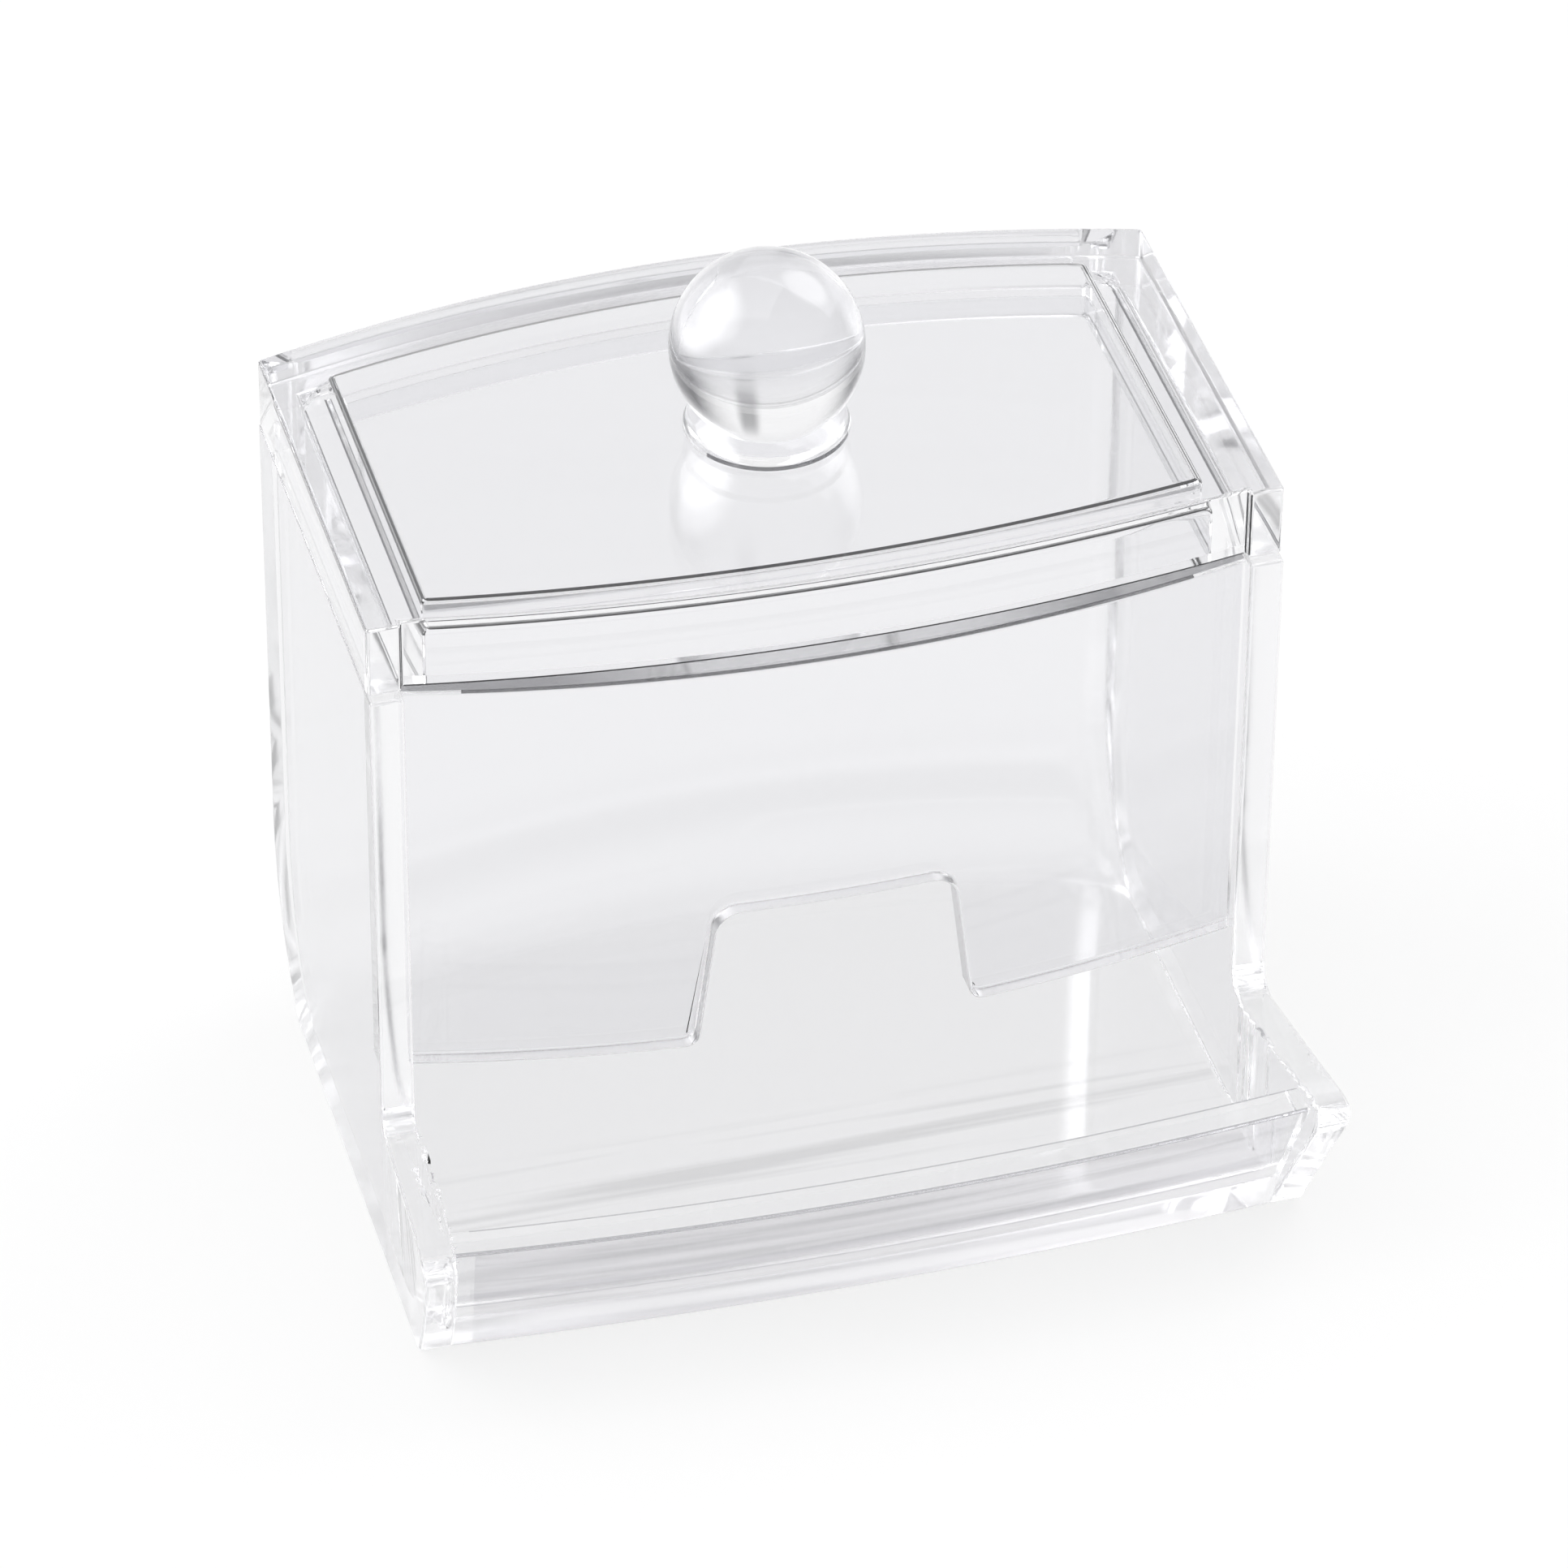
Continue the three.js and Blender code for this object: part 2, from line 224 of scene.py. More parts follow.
def start_shaping():
    """Puts a new primitive's place into its mesh, and opens it for editing with all of it selected."""
    bpy.ops.object.transform_apply(location=True, rotation=False, scale=False)
    bpy.ops.object.mode_set(mode="EDIT")
    bpy.ops.mesh.select_all(action="SELECT")
    return bpy.context.object


def end_shaping(piece):
    """Leaves edit mode with the faces pointing out."""
    bpy.ops.mesh.select_all(action="SELECT")
    bpy.ops.mesh.normals_make_consistent(inside=False)
    bpy.ops.object.mode_set(mode="OBJECT")
    return piece


def choose(piece, wanted):
    """Selects the vertices whose place passes the test, in edit mode."""
    mesh = bmesh.from_edit_mesh(piece.data)
    for vertex in mesh.verts:
        vertex.select = bool(wanted(vertex.co))
    mesh.select_flush(True)
    mesh.select_flush(False)
    bmesh.update_edit_mesh(piece.data)


def trace(name, points):
    """A flat face in edit mode, its outline drawn by extruding one vertex from point to point."""
    bpy.ops.object.select_all(action="DESELECT")
    bpy.ops.mesh.primitive_plane_add(size=MM)
    piece = bpy.context.object
    piece.name = name
    bpy.ops.object.mode_set(mode="EDIT")
    bpy.ops.mesh.select_all(action="SELECT")
    bpy.ops.mesh.merge(type="CENTER")
    bpy.ops.transform.translate(value=points[0])
    for here, there in zip(points, points[1:]):
        step = Vector(there) - Vector(here)
        bpy.ops.mesh.extrude_vertices_move(TRANSFORM_OT_translate={"value": step})
    bpy.ops.mesh.select_all(action="SELECT")
    bpy.ops.mesh.edge_face_add()
    return piece


def extrude(x, y, z):
    """Extrudes the selected face by a distance along each axis."""
    bpy.ops.mesh.extrude_region_move(TRANSFORM_OT_translate={"value": (x, y, z)})


def draw_across(name, section, stations, shift=None):
    """A section of (y, z) points extruded through x stations.

    Each point is then moved in y by shift(x, y, z), where one is given.
    """
    piece = trace(name, [(stations[0], y, z) for y, z in section])
    for here, there in zip(stations, stations[1:]):
        extrude(there - here, 0, 0)
    if shift:
        mesh = bmesh.from_edit_mesh(piece.data)
        for vertex in mesh.verts:
            vertex.co.y += shift(*vertex.co)
        bmesh.update_edit_mesh(piece.data)
    return end_shaping(piece)


def draw_up(name, outline, low, high):
    """An outline of (x, y) points extruded upwards."""
    piece = trace(name, [(x, y, low) for x, y in outline])
    extrude(0, 0, high - low)
    return end_shaping(piece)


def draw_forward(name, sections):
    """A loft along y through sections of (x, z) points, given as (y, points)."""
    y, points = sections[0]
    piece = trace(name, [(x, y, z) for x, z in points])
    for (near, before), (far, after) in zip(sections, sections[1:]):
        extrude(0, far - near, 0)
        mesh = bmesh.from_edit_mesh(piece.data)
        for vertex in mesh.verts:
            if vertex.select:
                place = (vertex.co.x, vertex.co.z)
                nearest = min(range(len(before)), key=lambda i: math.dist(before[i], place))
                vertex.co.x, vertex.co.z = after[nearest]
        bmesh.update_edit_mesh(piece.data)
    return end_shaping(piece)


def apply_step(piece, kind, **settings):
    """Gives a piece a modifier with its settings, and applies it."""
    pick(piece)
    step = piece.modifiers.new(kind.lower(), kind)
    for name, value in settings.items():
        setattr(step, name, value)
    bpy.ops.object.modifier_apply(modifier=step.name)


def combine(piece, other, operation):
    """Joins, cuts or keeps what two closed pieces share, and removes the second."""
    apply_step(piece, "BOOLEAN", operation=operation, object=other, solver="MANIFOLD")
    bpy.data.objects.remove(other)
    return piece


def clean(piece, join_flats=True):
    """Merges doubled vertices and, where asked, flat neighbours, and turns the faces outwards."""
    pick(piece)
    bpy.ops.object.mode_set(mode="EDIT")
    bpy.ops.mesh.select_all(action="SELECT")
    bpy.ops.mesh.remove_doubles(threshold=WELD)
    bpy.ops.mesh.dissolve_degenerate(threshold=WELD)
    if join_flats:
        bpy.ops.mesh.dissolve_limited(angle_limit=FLAT_ANGLE)
    bpy.ops.mesh.normals_make_consistent(inside=False)
    bpy.ops.object.mode_set(mode="OBJECT")


def round_edges(piece):
    """Rounds the sharp edges of a closed piece."""
    clean(piece)
    apply_step(
        piece, "BEVEL", width=EDGE_ROUND, segments=EDGE_STEPS,
        limit_method="ANGLE", angle_limit=SHARP_ANGLE, use_clamp_overlap=False,
    )
    return piece


def polish(piece):
    """Shades a moulding smoothly round its edges, and evenly over its flat faces."""
    clean(piece, join_flats=False)
    bpy.ops.object.shade_smooth_by_angle(angle=SMOOTH_ANGLE)
    apply_step(piece, "WEIGHTED_NORMAL", keep_sharp=True)
    return piece


# The body moulding

def tall_block():
    """The outside of the walls: bowed and swept at the back, and left long in front."""
    centre = (BACK - SWEEP_RADIUS, SWEEP_HEIGHT)
    start = -math.asin(SWEEP_HEIGHT / SWEEP_RADIUS)
    near = FRONT - OVERRUN
    section = [(near, 0)] + arc(centre, SWEEP_RADIUS, start, 0) + [(BACK, TOP), (near, TOP)]
    return draw_across(
        "storage_body", section, even_stations(OUTER), lambda x, y, z: -back_fall(x) if y > 0 else 0
    )


def flared_sections(near, low, high, half):
    """Sections from the back of a space to past the tray's front, as wide as the flare is there."""
    far = TRAY_FRONT - OVERRUN
    stations = [near, FRONT] + [FRONT + (far - FRONT) * i / ARC_STEPS for i in range(1, ARC_STEPS + 1)]
    sections = []
    for y in stations:
        share = max(0, (FRONT - y) / (FRONT - TRAY_FRONT))
        foot = half + CHEEK_FLARE * share * low / CHEEK_TIP
        head = half + CHEEK_FLARE * share * high / CHEEK_TIP
        sections.append((y, [(-foot, low), (foot, low), (head, high), (-head, high)]))
    return sections


def tray_block():
    """The outside of the tray, left long in front and above."""
    return draw_forward("tray_block", flared_sections(FRONT + OVERRUN, 0, CHEEK_TIP + 2 * OVERRUN, OUTER))


def side_profile_trim():
    """What is cut off outside the side walls' profile: flat fronts, risen rims, rounded tips and feet."""
    def front(z):
        return TRAY_BASE - CHEEK_PROUD - CHEEK_LEAN * z / CHEEK_TIP

    tip = Vector((front(CHEEK_TIP), CHEEK_TIP))
    foot = Vector((front(0), 0))
    root = Vector((FRONT - CHEEK_ROOT, CHEEK_RIM))
    high = TOP + OVERRUN
    far = TRAY_FRONT - 3 * OVERRUN
    section = [(FRONT, high)]
    section += arc((root.x, root.y + CHEEK_ROOT), CHEEK_ROOT, 0, -math.pi / 2)
    section += round_corner(root, tip, foot, CHEEK_ROUND)
    section += round_corner(tip, foot, foot + Vector((OVERRUN, 0)), CHEEK_FOOT)
    section += [(foot.x + CHEEK_FOOT + OVERRUN, -OVERRUN), (far, -OVERRUN), (far, high)]
    wide = OUTER + CHEEK_FLARE + OVERRUN
    return draw_across("side_profile_trim", section, [-wide, wide])


def space_between_walls():
    """A tall solid that fills the space between the side walls and between the tray's flared sides."""
    sections = flared_sections(BACK + OVERRUN, -2 * OVERRUN, TOP + 2 * OVERRUN, INNER)
    far, points = sections[-1]
    return draw_forward("space_between_walls", sections + [(far - 4 * OVERRUN, points)])


def tray_slope():
    """Where the tray's front meets the floor inside, and where its scoop runs out on the floor."""
    lean = math.atan(MIDDLE_SLOPE)
    corner = TRAY_BASE - TRAY_BASE_BOW - MIDDLE_SLOPE * FLOOR + TRAY_WALL / math.cos(lean)
    toe = corner + TRAY_SCOOP / math.tan((math.pi / 2 + lean) / 2)
    return lean, corner, toe


def hollow():
    """What is cut out of the body: the chamber, down its ramp and out over the floor."""
    high = TOP + OVERRUN
    low = -OVERRUN
    far = TRAY_FRONT - 3 * OVERRUN
    centre = (BACK - SWEEP_RADIUS, SWEEP_HEIGHT)
    inner_radius = SWEEP_RADIUS - BACK_WALL
    reach = inner_radius - RAMP_FILLET
    round_z = FLOOR + RAMP_FILLET
    round_y = centre[0] + math.sqrt(reach ** 2 - (SWEEP_HEIGHT - round_z) ** 2)
    touch = -math.acos((round_y - centre[0]) / reach)
    floor_end = tray_slope()[2] + OVERRUN
    section = [(BACK - BACK_WALL, high)]
    section += arc(centre, inner_radius, 0, touch)
    section += arc((round_y, round_z), RAMP_FILLET, touch, -math.pi / 2)[1:]
    section += [(floor_end, FLOOR), (floor_end, low), (far, low), (far, high)]
    return draw_across(
        "hollow", section, hollow_stations(), lambda x, y, z: -hollow_back_fall(x) if y > 0 else 0
    )


def tray_front():
    """The tray's front with the floor scooped up into it, its ends and root sunk in what carries it."""
    lean, corner, toe = tray_slope()
    outer = TRAY_BASE - TRAY_BASE_BOW
    root = toe + 2 * OVERRUN
    section = [(outer, 0), (outer - MIDDLE_SLOPE * TRAY_RIM, TRAY_RIM)]
    section += [(corner - MIDDLE_SLOPE * (TRAY_RIM - FLOOR), TRAY_RIM)]
    section += arc((toe, FLOOR + TRAY_SCOOP), TRAY_SCOOP, lean - math.pi, -math.pi / 2)
    section += [(root, FLOOR), (root, 0)]
    half = (INNER + OUTER) / 2
    piece = draw_across(
        "tray_front_moulding", section, even_stations(half), lambda x, y, z: tray_fall(x, z)
    )
    bpy.ops.object.mode_set(mode="EDIT")
    mesh = bmesh.from_edit_mesh(piece.data)
    for vertex in mesh.verts:
        share = max(0, (FRONT - vertex.co.y) / (FRONT - TRAY_FRONT))
        vertex.co.x *= 1 + CHEEK_FLARE * share * vertex.co.z / CHEEK_TIP / half
    bmesh.update_edit_mesh(piece.data)
    return end_shaping(piece)


def front_wall():
    """The bowed front wall, its ends sunk in the side walls, with the finger notch in its lower edge."""
    centre = BOW_FRONT + FRONT_RADIUS
    half = (INNER + OUTER) / 2
    outline = bow(centre, FRONT_RADIUS, -half, half)
    outline += bow(centre, FRONT_RADIUS - FRONT_WALL, half, -half)
    wall = draw_up("front_wall_moulding", outline, MOUTH, WALL_TOP - WALL_STEP)
    return combine(wall, finger_notch(), "DIFFERENCE")


def finger_notch():
    """The notch, its corners rounded, run through the wall in y."""
    head = MOUTH + NOTCH_HEIGHT
    lip = (NOTCH_FOOT + NOTCH_LIP, MOUTH + NOTCH_LIP)
    shoulder = (NOTCH_HEAD - NOTCH_ROUND, head - NOTCH_ROUND)
    right = [(lip[0], MOUTH - OVERRUN)]
    right += arc(lip, NOTCH_LIP, -math.pi / 2, -math.pi, LIP_STEPS)
    right += arc(shoulder, NOTCH_ROUND, 0, math.pi / 2, NOTCH_STEPS)
    outline = right + [(-x, z) for x, z in reversed(right)]
    near = BOW_FRONT - OVERRUN
    piece = trace("finger_notch", [(x, near, z) for x, z in outline])
    extrude(0, FRONT_BOW + FRONT_WALL + 2 * OVERRUN, 0)
    return end_shaping(piece)


def storage_body():
    """The whole body, its walls cut from one block and its tray's front and front wall joined in."""
    body = combine(tall_block(), tray_block(), "UNION")
    body = combine(body, side_profile_trim(), "DIFFERENCE")
    body = combine(body, combine(hollow(), space_between_walls(), "INTERSECT"), "DIFFERENCE")
    body = combine(round_edges(body), round_edges(tray_front()), "UNION")
    body = combine(body, round_edges(front_wall()), "UNION")
    body.name = "storage_body"
    return polish(body)


# The lid moulding

def bowed_plan(half, near, radius, far):
    """A plan with straight sides, its front bowed to a radius and its rear bowed like the back wall."""
    rear = [(x, far - back_fall(x)) for x in reversed(even_stations(half))]
    return bow(near + radius, radius, -half, half) + rear


def lid_plan():
    """Plan of the lid: square corner blocks over the side walls and a bowed front between them."""
    block = FRONT + LID_SETBACK
    middle = FRONT + LID_FRONT - LID_FRONT_BOW
    front = bow(middle + LID_RADIUS, LID_RADIUS, -INNER, INNER)
    rear = [(x, BACK - LID_REAR_INSET - back_fall(x)) for x in reversed(even_stations(OUTER))]
    return [(-OUTER, block), (-INNER, block)] + front + [(INNER, block), (OUTER, block)] + rear


def lid_pocket(half, near, far):
    """What is cut out of the lid's underside, with a rounded ceiling."""
    plan = bowed_plan(half - RIB_SIDE, near + RIB_FRONT, LID_RADIUS, far - RIB_BACK)
    pocket = draw_up("pocket", plan, RIB_FOOT - OVERRUN, POCKET_CEILING)
    bpy.ops.object.mode_set(mode="EDIT")
    choose(pocket, lambda place: place.z > POCKET_CEILING - OVERRUN)
    bpy.ops.mesh.bevel(offset=POCKET_ROUND, segments=BEVEL_STEPS, affect="EDGES")
    return end_shaping(pocket)


def lid_moulding():
    """The lid: its plate, the plug that drops inside the walls, and the pocket cut up into both."""
    half = OUTER - PLUG_INSET
    near = BOW_FRONT + PLUG_INSET
    far = BACK - PLUG_INSET
    lid = draw_up("lid_moulding", lid_plan(), LID_FOOT, LID_TOP)
    plug = draw_up("plug", bowed_plan(half, near, FRONT_RADIUS, far), RIB_FOOT, TOP + LID_PLATE)
    lid = combine(lid, plug, "UNION")
    lid = combine(lid, lid_pocket(half, near, far), "DIFFERENCE")
    lid.name = "lid_moulding"
    return polish(round_edges(lid))


# The knob

def ball():
    """A ball with a flat foot."""
    radius = (ball_high.x - ball_low.x) / 2
    centre = ball_high.z - radius
    bpy.ops.object.select_all(action="DESELECT")
    bpy.ops.mesh.primitive_uv_sphere_add(
        segments=ROUND_STEPS, ring_count=ROUND_STEPS // 2, radius=radius, location=(0, LID_MIDDLE, centre)
    )
    piece = start_shaping()
    foot = (0, 0, collar_high.z - COLLAR_SINK)
    bpy.ops.mesh.bisect(plane_co=foot, plane_no=(0, 0, 1), use_fill=True, clear_inner=True)
    return end_shaping(piece)


def collar():
    """A low round collar with a rounded upper edge."""
    radius = (collar_high.x - collar_low.x) / 2 - COLLAR_INSET
    height = collar_high.z - collar_low.z - SEAT_GAP
    middle = collar_high.z - height / 2
    bpy.ops.object.select_all(action="DESELECT")
    bpy.ops.mesh.primitive_cylinder_add(
        vertices=ROUND_STEPS, radius=radius, depth=height, location=(0, LID_MIDDLE, middle)
    )
    piece = start_shaping()
    choose(piece, lambda place: place.z > middle)
    bpy.ops.mesh.bevel(offset=COLLAR_ROUND, segments=BEVEL_STEPS, affect="EDGES")
    return end_shaping(piece)


def knob():
    """The ball, standing in its collar."""
    piece = combine(ball(), collar(), "UNION")
    piece.name = "ball_knob"
    return polish(piece)


# Shader maths

class Link:
    """A node's socket, on which Python's operators build the Math nodes."""

    def __init__(self, shader, socket):
        self.shader = shader
        self.socket = socket

    def _math(self, operation, other, swapped=False):
        first, second = (other, self) if swapped else (self, other)
        return self.shader.node("ShaderNodeMath", {"operation": operation}, {0: first, 1: second})

    def __add__(self, other):
        return self._math("ADD", other)

    def __radd__(self, other):
        return self._math("ADD", other, True)

    def __sub__(self, other):
        return self._math("SUBTRACT", other)

    def __rsub__(self, other):
        return self._math("SUBTRACT", other, True)

    def __mul__(self, other):
        return self._math("MULTIPLY", other)

    def __rmul__(self, other):
        return self._math("MULTIPLY", other, True)

    def maximum(self, other):
        return self._math("MAXIMUM", other)


class Shader:
    """Builds a node tree from a node's type, its settings and the values or links of its sockets."""

    def __init__(self, tree):
        self.tree = tree
        tree.nodes.clear()

    def node(self, kind, settings=None, sockets=None, out=0):
        made = self.tree.nodes.new(kind)
        for name, value in (settings or {}).items():
            setattr(made, name, value)
        for key, value in (sockets or {}).items():
            if isinstance(value, Link):
                self.tree.links.new(value.socket, made.inputs[key])
            else:
                made.inputs[key].default_value = value
        return Link(self, made.outputs[out]) if made.outputs else made


def smooth(shader, value, start, end):
    """Goes softly from 0 to 1 as the value goes from the start to the end."""
    return shader.node(
        "ShaderNodeMapRange", {"interpolation_type": "SMOOTHSTEP"},
        {"Value": value, "From Min": start, "From Max": end, "To Min": 0, "To Max": 1},
    )


def coordinate(shader, place, axis):
    """A place's distance from the middle along an axis."""
    return shader.node("ShaderNodeSeparateXYZ", {}, {"Vector": place}, out=axis)


# Painted shade on the plastic, each as a share over the surface

# the unlit room's tone, which is also the tone that painted shade on the plastic goes towards
DIM_TONE = (0.06, 0.06, 0.07, 1)
STREAK_SCALE = (16, 500, 500)  # long across the box and fine along it
STREAK_DETAIL = 2.0
STREAK_EDGES = (0.45, 0.7)  # the noise's values between which a streak fades in
SCOOP_STREAK = 0.35  # the share of grey where a streak is darkest
BAND_STREAK = 0.3
TRAY_STREAK = 0.25
# an even painted shade on the tray face's left
TRAY_EVEN_SHADE = 0.2
SEAM_DARKEST = 0.75
FLOOR_FADE = (FRONT + 3 * MM, FRONT + 10 * MM)  # the floor's painted shade streaks fade out towards the chamber
TRAY_FADE = (-10 * MM, 38 * MM)  # the tray face's painted shade fades out towards the right
SEAM_FADE = (8 * MM, 28 * MM)  # the seam's painted shade sets in towards both ends


def greyed(shader, tone, share):
    """A tone where the share is 0, and the unlit room's tone where it is 1; on the plastic this paints
    shade.
    """
    return shader.node(
        "ShaderNodeMix", {"data_type": "RGBA"}, {"Factor": share, "A": tone, "B": DIM_TONE}, out="Result"
    )


def noise(shader, place, scale, detail):
    """A smooth noise over the surface."""
    return shader.node("ShaderNodeTexNoise", {}, {"Vector": place, "Scale": scale, "Detail": detail})


def shade_streaks(shader, place):
    """Painted shade in streaks across the box."""
    stretched = shader.node("ShaderNodeMapping", {}, {"Vector": place, "Scale": STREAK_SCALE})
    return smooth(shader, noise(shader, stretched, 1.0, STREAK_DETAIL), *STREAK_EDGES)


def scoop_painted_shade(shader, place):
    """Painted shade streaks on the curve up into the tray's front."""
    return shade_streaks(shader, place) * SCOOP_STREAK


def band_painted_shade(shader, place):
    """Fainter painted shade streaks on two bands of that curve."""
    return shade_streaks(shader, place) * BAND_STREAK


def floor_painted_shade(shader, place):
    """The scoop's painted shade streaks, fading out towards the chamber."""
    depth = coordinate(shader, place, "Y")
    return scoop_painted_shade(shader, place) * (1 - smooth(shader, depth, *FLOOR_FADE))


def tray_painted_shade(shader, place):
    """Painted shade, streaks and an even grey, that fades out towards the right."""
    right = coordinate(shader, place, "X")
    grey = shade_streaks(shader, place) * TRAY_STREAK + TRAY_EVEN_SHADE
    return grey * (1 - smooth(shader, right, *TRAY_FADE))


def seam_painted_shade(shader, place):
    """Painted shade in the gap under the lid, darker towards both ends of the front wall's top."""
    right = coordinate(shader, place, "X")
    return smooth(shader, right.maximum(right * -1), *SEAM_FADE) * SEAM_DARKEST


# Finishes of the plastic: all but the clear plastic have painted shade, or on the soft edge a faint painted
# highlight, in their tones

REFRACTION = 1.49
POLISH = 0.03  # the roughness of polished plastic
HAZE = 0.03  # how much a fine haze adds to it
HAZE_SCALE = 160.0
HAZE_DETAIL = 4.0
WAVE_SCALE = 45.0
WAVE_DETAIL = 1.0
WAVE_STRENGTH = 0.002
WAVE_HEIGHT = 1 * MM
CLEAR = (0.93, 0.93, 0.94, 1)
FINISHES = {
    "clear plastic": {"tone": CLEAR},
    # painted shade in streaks on the scoop
    "painted shade streaks": {"tone": CLEAR, "grey": scoop_painted_shade},
    # the floor's top, with the scoop's painted shade streaks
    "floor": {"tone": CLEAR, "grey": floor_painted_shade},
    # the tray's outer face, its left painted darker with shade that fades out towards the right
    "tray face": {"tone": (0.95, 0.94, 0.97, 1), "grey": tray_painted_shade},
    # a darker copy of the clear plastic with painted shade streaks: soft grey lines on two bands of the
    # scoop
    "tray shade bands": {"tone": (0.72, 0.72, 0.75, 1), "grey": band_painted_shade},
    # the front wall's top, a darker copy of the clear plastic: painted shade in the gap under the lid
    "seam": {"tone": (0.75, 0.75, 0.77, 1), "grey": seam_painted_shade},
    # a darker copy of the clear plastic on the lid's top: painted shade
    "lid face": {"tone": (0.845, 0.845, 0.858, 1)},
    # a darker copy of the clear plastic on the side walls' outer faces: painted shade
    "side faces": {"tone": (0.78, 0.78, 0.8, 1)},
    # lighter than the clear plastic, a faint painted highlight on the notch's edges, and rougher
    "soft edge": {"tone": (0.97, 0.97, 0.98, 1), "rough": 0.4},
    # grey edge, shaded edge and dark edge paint dark lines of shade along edges; the dark edge is nearly
    # opaque
    "grey edge": {"tone": (0.35, 0.35, 0.37, 1)},
    "shaded edge": {"tone": (0.06, 0.06, 0.065, 1)},
    "dark edge": {"tone": (0.012, 0.012, 0.014, 1), "clear": 0.3},
}


def moulded_plastic(name, tone, grey=None, rough=POLISH, clear=1.0):
    """Slightly wavy plastic of a tone, greyed with painted shade over its surface by the share that a
    function gives.
    """
    material = bpy.data.materials.new(name)
    material.use_nodes = True
    shader = Shader(material.node_tree)
    place = shader.node("ShaderNodeTexCoord", out="Object")
    normal = shader.node("ShaderNodeBump", {}, {
        "Strength": WAVE_STRENGTH,
        "Distance": WAVE_HEIGHT,
        "Height": noise(shader, place, WAVE_SCALE, WAVE_DETAIL),
    })
    if grey:
        tone = greyed(shader, tone, grey(shader, place))
    surface = shader.node("ShaderNodeBsdfPrincipled", {}, {
        "Base Color": tone,
        "Roughness": rough + noise(shader, place, HAZE_SCALE, HAZE_DETAIL) * HAZE,
        "IOR": REFRACTION,
        "Transmission Weight": clear,
        "Normal": normal,
    })
    shader.node("ShaderNodeOutputMaterial", {}, {"Surface": surface})
    return material


# The faces of each finish, by where their middles lie and which way they face

EDGE_REACH = 0.36 * MM  # the faces that round an edge have their middles within this of it
ROUNDING = (0.02 * MM, EDGE_REACH)
RIB_LINE = (0.02 * MM, 0.34 * MM)  # above the ribs' foot
POCKET_LINE = (0.12 * MM, 0.24 * MM)  # below the pocket's ceiling, at its sides
POCKET_SECOND_LINE = (0.45 * MM, 0.8 * MM)
POCKET_END_LINE = (0.04 * MM, 0.24 * MM)  # the same at its front and back
WALL_LINE = (0.02 * MM, 0.2 * MM)  # below the front wall's top
LOWER_BAND = (0.1 * MM, 0.5 * MM)  # above the floor
UPPER_BAND = (2 * MM, 2.8 * MM)
COLLAR_LINE = 0.5 * MM  # above the collar's foot
COLLAR_FRONT = 4 * MM  # in front of the collar's middle
PLUG_MARGIN = 1 * MM  # keeps the pocket's lines off the plug's outer sides
CLOSE = 0.1 * MM  # a face within this of a plane lies in it
BESIDE_ROUNDING = 0.4 * MM  # clear of an edge's rounding
BESIDE_TRAY = 0.5 * MM  # how far past the tray's ends its rim lines run
SQUARE = 0.99  # the share of a normal along an axis that makes a face square to it
SLANTED = (0.5, 0.85)  # that share on the rounding of an upright edge
UPRIGHT = 0.1  # the most that it points up or down on an upright face
OUTWARD = 0.8  # the least that it points forward on the tray's leaning face
RISING = 0.1  # the least that it points back on the scoop
FACING = 0.95  # the least that it points forward or back on the bowed wall's own faces

# How far back the faces of each finish reach

WALL_FACE_ZONE = FRONT + 0.5 * MM
LID_FOOT_ZONE = FRONT + 2 * MM
BLOCK_ZONE = FRONT + 2.4 * MM
WALL_TOP_ZONE = FRONT + 3 * MM
SCOOP_ZONE = FRONT - 5 * MM
TRAY_ZONE = FRONT - 7 * MM


def within(band, value):
    """Whether a value lies in a band."""
    return band[0] < value < band[1]


def pocket_lines(place, normal):
    """Where dark lines of painted shade run round the lid's pocket, doubled at its sides."""
    if abs(place.x) > OUTER - PLUG_INSET - PLUG_MARGIN:
        return False
    below = POCKET_CEILING - place.z
    if abs(normal.x) > abs(normal.y):
        return within(POCKET_LINE, below) or within(POCKET_SECOND_LINE, below)
    return within(POCKET_END_LINE, below)


def lid_top(place, normal):
    """The flat top of the lid."""
    return normal.z > SQUARE and place.z > LID_TOP - CLOSE


def rib_lines(place, normal):
    """The lower edges of the ribs at the lid's sides."""
    return abs(normal.x) > abs(normal.y) and within(RIB_LINE, place.z - RIB_FOOT)


def block_lines(place, normal):
    """The upright inner edges of the lid's corner blocks."""
    rounding = abs(normal.z) < UPRIGHT and within(SLANTED, abs(normal.x))
    return rounding and place.y < BLOCK_ZONE and abs(abs(place.x) - INNER) < EDGE_REACH


def foot_lines(place, normal):
    """The lower edge of the lid's bowed front."""
    between = abs(place.x) < INNER - BESIDE_ROUNDING
    return between and place.y < LID_FOOT_ZONE and within(ROUNDING, place.z - LID_FOOT)


def wall_top(place, normal):
    """The flat top of the front wall."""
    flat = normal.z > SQUARE and place.z > WALL_TOP - CLOSE
    return flat and abs(place.x) < INNER and place.y < WALL_TOP_ZONE


def wall_lines(place, normal):
    """The upper edge of the front wall, in the thin gap under the lid."""
    front = place.y < WALL_FACE_ZONE and normal.y < 0
    return front and abs(place.x) < INNER and within(WALL_LINE, WALL_TOP - WALL_STEP - place.z)


def notch_edges(place, normal):
    """The lower edge of the front wall, and the edges of its notch."""
    low = MOUTH - CLOSE < place.z < MOUTH + NOTCH_HEIGHT + CLOSE
    near = BOW_FRONT - CLOSE < place.y < BOW_FRONT + FRONT_BOW + FRONT_WALL + CLOSE
    return low and near and abs(place.x) < INNER - BESIDE_ROUNDING and abs(normal.y) < FACING


